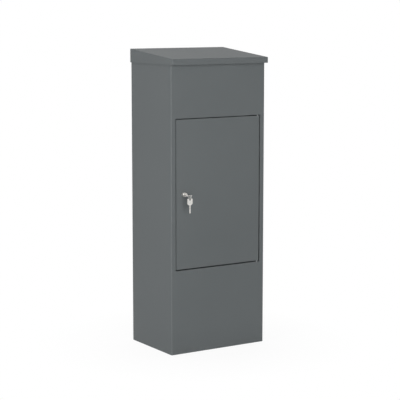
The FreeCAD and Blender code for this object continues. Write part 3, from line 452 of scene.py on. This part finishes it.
def make_lock_housing():
    """Turned chrome case with a rolled rim and a round collar, and a threaded barrel with two flats."""
    rim = [(LOCK_BORE, 0.8), (4.65, 0.3), (4.95, 0.04), (5.3, 0.0), (5.6, 0.1), (5.8, 0.4), (5.85, 0.8)]
    collar = [(5.85, 5.6), (5.95, 5.8), (6.3, 5.9), (6.65, 6.15), (6.95, 6.6), (7.15, 7.2), (7.2, 7.9)]
    base = [(7.2, CASE_LENGTH), (LOCK_BORE, CASE_LENGTH)]
    case = turn_profile(rim + collar + base + rim[:1], steps=64)
    start = [(LOCK_BORE, 0.0)]
    thread = thread_profile(core=5.85, crest=6.3, pitch=1.0, start=0.0, end=20.0)
    end = [(5.7, BARREL_LENGTH), (LOCK_BORE, BARREL_LENGTH)]
    barrel = turn_profile(start + thread + end + start, steps=48)
    for side in (-1, 1):
        cut_across(barrel, (BARREL_HALF_FLATS * side, 0, 0), (side, 0, 0), clear_outer=True)
        close_form(barrel)
    shape = join_forms((case, behind_front("lock_housing")),
                       (barrel, behind_front("lock_housing", CASE_LENGTH)))
    finish_piece("lock_case", shape, "door", "chrome", "lock_housing")


def make_lock_nut():
    """Flat hexagon nut behind the door."""
    nut = hexagon_nut(LOCK_NUT_FLATS, depth_of("lock_nut"))
    shape = join_forms((nut, behind_front("lock_nut")))
    finish_piece("lock_hex_nut", shape, "door", "zinc_plate", "lock_nut", soft_edge=0.15)


def make_lock_washers():
    for node, bore, body in LOCK_WASHERS:
        low, high = corners_of(node)
        washer = stamped_washer(bore, (high.x - low.x) / 2, depth_of(node))
        shape = join_forms((washer, behind_front(node)))
        finish_piece(f"{node}_stamped", shape, body, "zinc_plate", node)


def make_cam_screw():
    """Pan-head screw with a cross recess."""
    length = depth_of("cam_screw")
    seat = length - CAM_SCREW_HEAD
    head = [(1.5, seat), (3.0, seat), (3.2, seat + 0.2), (3.2, seat + 0.8), (3.0, seat + 1.4),
            (2.4, length), (CROSS_RADIUS, length), (0, length)]
    thread = thread_profile(core=1.2, crest=1.5, pitch=0.5, start=0.4, end=seat - 0.6)
    screw = turn_profile([(0, 0), (1.1, 0)] + thread + head, steps=48)
    for across in ((1, 0, 0), (0, 1, 0)):
        for side in (-CROSS_HALF_WIDTH, CROSS_HALF_WIDTH):
            cut_across(screw, Vector(across) * side, across)
    cross = []
    for face in screw.faces:
        centre = face.calc_center_median()
        in_slot = min(abs(centre.x), abs(centre.y)) < CROSS_HALF_WIDTH
        if in_slot and centre.z > length - 0.01 and centre.xy.length < CROSS_RADIUS:
            cross.append(face)
    bmesh.ops.inset_region(screw, faces=cross, thickness=0.06, depth=-1.0, use_even_offset=True)
    shape = join_forms((screw, behind_front("cam_screw")))
    finish_piece("cam_cross_screw", shape, "lock_core", "zinc_plate", "cam_screw")


# Keys and ring: a key lies along Y with its blade ahead, and its bow's end is what sets its place

KEY_THICKNESS = 1.8
KEY_TIP = 25.0
TIP_HALF = 0.6
BLADE_END = 22.6
BLADE_HALF = 2.4
BLADE_FOOT = -1.9
BOW_HALF = 9.9
BOW_START = -6.3
BOW_END = -24.3
BOW_START_CORNER, BOW_END_CORNER = 2.0, 3.0
KEY_HOLE_RADIUS = 3.0
KEY_HOLE_PLACE = -20.3
KEY_GROOVE = (-1.5, -0.5)
KEY_GROOVE_START = -1.0
# Middle, reach and depth of each cut along the blade
KEY_BITTING = ((20.6, 1.08, 1.0), (17.0, 1.44, 0.7), (13.4, 1.08, 1.0), (9.8, 1.44, 0.7),
               (6.2, 1.08, 1.0))
CUT_HALF_FLOOR = 0.25
WIRE_CORNER = 0.14
RING_RADIUS = 6.5
RING_PITCH = 0.54
RING_TURNS = 2
RING_STEPS = 128


def key_outline():
    """Corners of a key's outline, from the tip down the cut edge, round the bow and back."""
    cut_edge = [(TIP_HALF, KEY_TIP), (BLADE_HALF, BLADE_END)]
    for middle, reach, depth in KEY_BITTING:
        floor = BLADE_HALF - depth
        cut_edge += [(BLADE_HALF, middle + reach), (floor, middle + CUT_HALF_FLOOR),
                     (floor, middle - CUT_HALF_FLOOR), (BLADE_HALF, middle - reach)]
    bow_side = [(BLADE_HALF, BLADE_FOOT), (BOW_HALF, BOW_START), (BOW_HALF, BOW_END)]
    plain_edge = [(-BOW_HALF, BOW_END), (-BOW_HALF, BOW_START), (-BLADE_HALF, BLADE_FOOT),
                  (-BLADE_HALF, BLADE_END), (-TIP_HALF, KEY_TIP)]
    return cut_edge + bow_side + plain_edge


def in_groove(face, way):
    """Whether a face is part of the groove's strip on one side of the blade."""
    centre = face.calc_center_median()
    return (face.normal.z * way > 0.9 and centre.y > KEY_GROOVE_START
            and KEY_GROOVE[0] < centre.x < KEY_GROOVE[1])


def make_key(name, body, place, turn):
    """Flat key: a blank with a round-cornered bow, a hole, bitting and a groove along both faces."""
    blank = bmesh.new()
    corners = [blank.verts.new((x, y, -KEY_THICKNESS / 2)) for x, y in key_outline()]
    for pair in zip(corners, corners[1:] + corners[:1]):
        blank.edges.new(pair)
    bow = [corner for corner in corners if corner.co.y < (BLADE_FOOT + BOW_START) / 2]
    for corner in bow:
        reach = BOW_END_CORNER if corner.co.y < KEY_HOLE_PLACE else BOW_START_CORNER
        round_corners(blank, [corner], reach, segments=6)
    hole = bmesh.ops.create_circle(blank, cap_ends=False, segments=32, radius=KEY_HOLE_RADIUS)["verts"]
    bmesh.ops.translate(blank, vec=(0, KEY_HOLE_PLACE, -KEY_THICKNESS / 2), verts=hole)
    bmesh.ops.triangle_fill(blank, use_beauty=True, edges=blank.edges[:])
    bmesh.ops.recalc_face_normals(blank, faces=blank.faces)
    bmesh.ops.solidify(blank, geom=blank.faces[:], thickness=KEY_THICKNESS)
    mid_height = sum(vert.co.z for vert in blank.verts) / len(blank.verts)
    bmesh.ops.translate(blank, vec=(0, 0, -mid_height), verts=blank.verts)
    for x in KEY_GROOVE:
        cut_across(blank, (x, 0, 0), (1, 0, 0))
    cut_across(blank, (0, KEY_GROOVE_START, 0), (0, 1, 0))
    bmesh.ops.recalc_face_normals(blank, faces=blank.faces)
    for way in (-1, 1):
        floor = [face for face in blank.faces if in_groove(face, way)]
        bmesh.ops.inset_region(blank, faces=floor, thickness=0.12, depth=-0.4, use_boundary=True,
                               use_even_offset=True)
    shape = join_forms((blank, Matrix.Translation(place) @ turn))
    bmesh.ops.recalc_face_normals(shape, faces=shape.faces)
    finish_piece(f"{name}_cut", shape, body, "nickel", name, soft_edge=0.16)


def make_keys():
    """The key in the lock, bow to the front, and the spare key, which hangs with its bow up."""
    in_lock, hanging = middle_of("key"), middle_of("spare_key")
    in_lock.y = corners_of("key")[0].y - BOW_END
    hanging.z = corners_of("spare_key")[1].z + BOW_END
    make_key("key", "lock_key", in_lock, Matrix())
    make_key("spare_key", "hanging_key", hanging, INWARDS)


def make_split_ring():
    """Two turns of flat spring wire, side by side."""
    ring = bmesh.new()
    bmesh.ops.create_grid(ring, x_segments=1, y_segments=1, size=0.5)
    bmesh.ops.scale(ring, vec=(0.5, 1.0, 1.0), verts=ring.verts)
    round_corners(ring, ring.verts[:], WIRE_CORNER, segments=3)
    width = RING_PITCH * RING_TURNS
    bmesh.ops.translate(ring, vec=(-width / 2, RING_RADIUS, 0), verts=ring.verts)
    bmesh.ops.spin(ring, geom=ring.verts[:] + ring.edges[:] + ring.faces[:], cent=(0, 0, 0),
                   axis=(1, 0, 0), dvec=(width / RING_STEPS, 0, 0), angle=2 * math.pi * RING_TURNS,
                   steps=RING_STEPS)
    close_form(ring)
    shape = join_forms((ring, Matrix.Translation(middle_of("key_ring"))))
    finish_piece("split_ring", shape, "ring", "nickel", "key_ring")


# Lid and back

LID_RISE = 26.6
STUD_PLACES = (-135, -45, 45, 135)
RIVET_PITCH = 65
RIVET_HEAD_RADIUS = 3.2
RIVET_PROFILE = ((0, -5.6), (1.6, -5.6), (2.3, -4.6), (2.5, -3.9), (2.5, -2.4), (1.6, -2.4), (1.6, 0),
                 (RIVET_HEAD_RADIUS, 0), (RIVET_HEAD_RADIUS, 0.12), (3.05, 0.5), (2.6, 0.95), (1.9, 1.28),
                 (1.3, 1.4), (1.05, 1.34), (0.95, 1.1), (0.9, 0.6), (0.5, 0.72), (0, 0.78))
WELDS = 13
WELD_LINE = 171.5
WELD_MARGIN = 45
WELD_PROFILE = ((3.6, -0.2), (3.5, 0.0), (3.1, 0.14), (2.6, 0.18), (2.2, 0.12), (1.6, 0.04), (0, 0.02))


def weld_stud(length):
    thread = thread_profile(core=2.1, crest=2.5, pitch=0.8, start=0.4, end=9.2)
    return turn_profile([(0, 0), (1.9, 0)] + thread + [(2.5, 9.6), (2.5, length), (0, length)], steps=24)


def tray_washer(thickness):
    return stamped_washer(bore=2.7, radius=5.0, thickness=thickness)


def tray_nut(height):
    return hexagon_nut(flats=8.0, height=height)


def make_tray_fasteners():
    """Threaded weld studs under the lid, square to its slope, with their washers and nuts."""
    tilt = Matrix.Rotation(math.atan(LID_RISE / depth_of("lid_cap")), 4, "X")
    for node, length, make_form in (("tray_studs", 12.0, weld_stud), ("tray_washers", 1.0, tray_washer),
                                    ("tray_nuts", 4.0, tray_nut)):
        shape = bmesh.new()
        middle = middle_of(node)
        for x in STUD_PLACES:
            form = make_form(length)
            bmesh.ops.translate(form, vec=(0, 0, -length / 2), verts=form.verts)
            join_form(shape, form, Matrix.Translation((x, middle.y, middle.z)) @ tilt)
        finish_piece(f"{node}_turned", shape, "lid", "zinc_plate", node)


def make_hinge_rivets():
    """Blind rivets: domed heads with the snapped mandrel's dimple, and bulged tails behind the leaf."""
    low, high = corners_of("lid_hinge_rivets")
    panel = corners_of("back_panel")[1].y
    height = middle_of("lid_hinge_rivets").z
    count = round((high.x - low.x - 2 * RIVET_HEAD_RADIUS) / RIVET_PITCH) + 1
    shape = bmesh.new()
    for index in range(count):
        x = low.x + RIVET_HEAD_RADIUS + RIVET_PITCH * index
        join_form(shape, turn_profile(RIVET_PROFILE, steps=28), facing_in((x, panel, height)))
    finish_piece("blind_rivets", shape, "cabinet", "rivet_alloy", "lid_hinge_rivets")


def make_spot_welds():
    """Shallow electrode marks, painted over, where the back panel is welded to the sides' returns."""
    low, high = corners_of("back_panel")
    step = (high.z - low.z - 2 * WELD_MARGIN) / (WELDS - 1)
    shape = bmesh.new()
    for side in (-1, 1):
        for index in range(WELDS):
            place = facing_in((side * WELD_LINE, high.y, low.z + WELD_MARGIN + index * step))
            join_form(shape, turn_profile(WELD_PROFILE, steps=24), place)
    finish_piece("spot_weld_marks", shape, "cabinet", "grey_coat")


make_lock_housing()
make_lock_nut()
make_keys()
make_split_ring()
make_cam_screw()
make_lock_washers()
make_tray_fasteners()
make_hinge_rivets()
make_spot_welds()


# Floor, light and camera, in metres

WHITE = (1, 1, 1, 1)
FLOOR_TONE = (0.92, 0.92, 0.92, 1)
FLOOR_REACH = 30.0
FLOOR_GLOW = 0.93
FLOOR_FADE = (0.22, 0.55)
WORLD_LIGHT = 0.02
BACK_FILL = 1.2
BACK_WAY = (0.62, 0.78, 0.0)
BACK_FADE = (-0.1, 0.7)
# Name, place, target, width, height, watts and beam in degrees
SOFTBOXES = (
    ("side_softbox", (-3.4, -0.9, 1.0), (0, 0, 0.55), 1.6, 2.4, 58.2, 180),
    ("front_softbox", (-0.85, -3.4, 1.45), (0, 0, 0.55), 1.6, 2.4, 71.2, 180),
    ("top_softbox", (0.3, 1.2, 3.2), (0, 0, 0.9), 2.0, 2.0, 10.8, 180),
    ("high_softbox", (-1.3, 0.7, 2.9), (-0.18, 0, 0.75), 0.6, 0.6, 7, 180),
    ("low_softbox", (-1.7, -2.6, 0.45), (0, 0, -0.22), 1.0, 0.4, 0.24, 20),
)
CAMERA_PLACE = (-2.4427, -3.8712, 1.1410)
CAMERA_TURN = math.radians(32.353)
CAMERA_DIP = math.radians(8.111)
CAMERA_LENS = 122.42
CAMERA_SENSOR = 36.0


def seen_rays(tree):
    """1 for what the camera sees straight, in gloss or through glass, and 0 for light on the object."""
    path = tree.nodes.new("ShaderNodeLightPath").outputs
    gloss = math_node(tree, "MAXIMUM", path["Is Glossy Ray"], path["Is Transmission Ray"])
    return math_node(tree, "MAXIMUM", path["Is Camera Ray"], gloss)


def show_instead(tree, share, lit, shown, output):
    """Mixes a lit shader with the one that is seen in its place, and puts them out."""
    mixed = tree.nodes.new("ShaderNodeMixShader")
    tree.links.new(share, mixed.inputs[0])
    tree.links.new(lit.outputs[0], mixed.inputs[1])
    tree.links.new(shown.outputs[0], mixed.inputs[2])
    tree.links.new(mixed.outputs[0], tree.nodes[output].inputs["Surface"])


def make_floor():
    """White floor that keeps a faint shadow close to the box."""
    shape = bmesh.new()
    bmesh.ops.create_grid(shape, x_segments=1, y_segments=1, size=FLOOR_REACH)
    mesh = bpy.data.meshes.new("floor")
    shape.to_mesh(mesh)
    shape.free()
    floor = bpy.data.objects.new("floor", mesh)
    bpy.context.scene.collection.objects.link(floor)
    finish, tree, shader = new_finish("floor_white")
    shader.inputs["Base Color"].default_value = FLOOR_TONE
    shader.inputs["Roughness"].default_value = 0.9
    shader.inputs["Specular IOR Level"].default_value = 0.0
    glow = tree.nodes.new("ShaderNodeEmission")
    glow.inputs["Color"].default_value = WHITE
    away = add_node(tree, "ShaderNodeVectorMath", operation="LENGTH")
    tree.links.new(object_place(tree), away.inputs[0])
    paleness = spread(tree, away.outputs["Value"], *FLOOR_FADE, FLOOR_GLOW, 1.0)
    seen = math_node(tree, "MULTIPLY", seen_rays(tree), paleness)
    show_instead(tree, seen, shader, glow, "Material Output")
    dress(floor, finish)


def make_world():
    """White surroundings to look at, and a soft fill on the right side and the back."""
    world = bpy.data.worlds.new("studio")
    bpy.context.scene.world = world
    world.use_nodes = True
    tree = world.node_tree
    light = tree.nodes["Background"]
    light.inputs["Color"].default_value = WHITE
    way = add_node(tree, "ShaderNodeVectorMath", operation="DOT_PRODUCT")
    way.inputs[1].default_value = BACK_WAY
    tree.links.new(tree.nodes.new("ShaderNodeTexCoord").outputs["Generated"], way.inputs[0])
    strength = spread(tree, way.outputs["Value"], *BACK_FADE, WORLD_LIGHT, WORLD_LIGHT + BACK_FILL)
    tree.links.new(strength, light.inputs["Strength"])
    shown = tree.nodes.new("ShaderNodeBackground")
    shown.inputs["Color"].default_value = WHITE
    show_instead(tree, seen_rays(tree), light, shown, "World Output")


def add_softbox(name, place, target, width, height, watts, beam):
    lamp = bpy.data.lights.new(name, "AREA")
    lamp.spread = math.radians(beam)
    lamp.shape = "RECTANGLE"
    lamp.size = width
    lamp.size_y = height
    lamp.energy = watts
    box = bpy.data.objects.new(name, lamp)
    box.location = place
    box.rotation_euler = (Vector(target) - Vector(place)).to_track_quat("-Z", "Y").to_euler()
    bpy.context.scene.collection.objects.link(box)


def make_camera():
    lens = bpy.data.cameras.new("camera")
    lens.lens = CAMERA_LENS
    lens.sensor_width = CAMERA_SENSOR
    camera = bpy.data.objects.new("camera", lens)
    camera.location = CAMERA_PLACE
    ahead = Vector((math.sin(CAMERA_TURN) * math.cos(CAMERA_DIP),
                    math.cos(CAMERA_TURN) * math.cos(CAMERA_DIP), -math.sin(CAMERA_DIP)))
    camera.rotation_euler = ahead.to_track_quat("-Z", "Y").to_euler()
    bpy.context.scene.collection.objects.link(camera)
    bpy.context.scene.camera = camera


make_floor()
make_world()
for softbox in SOFTBOXES:
    add_softbox(*softbox)
make_camera()
bpy.context.scene.view_settings.view_transform = "Standard"
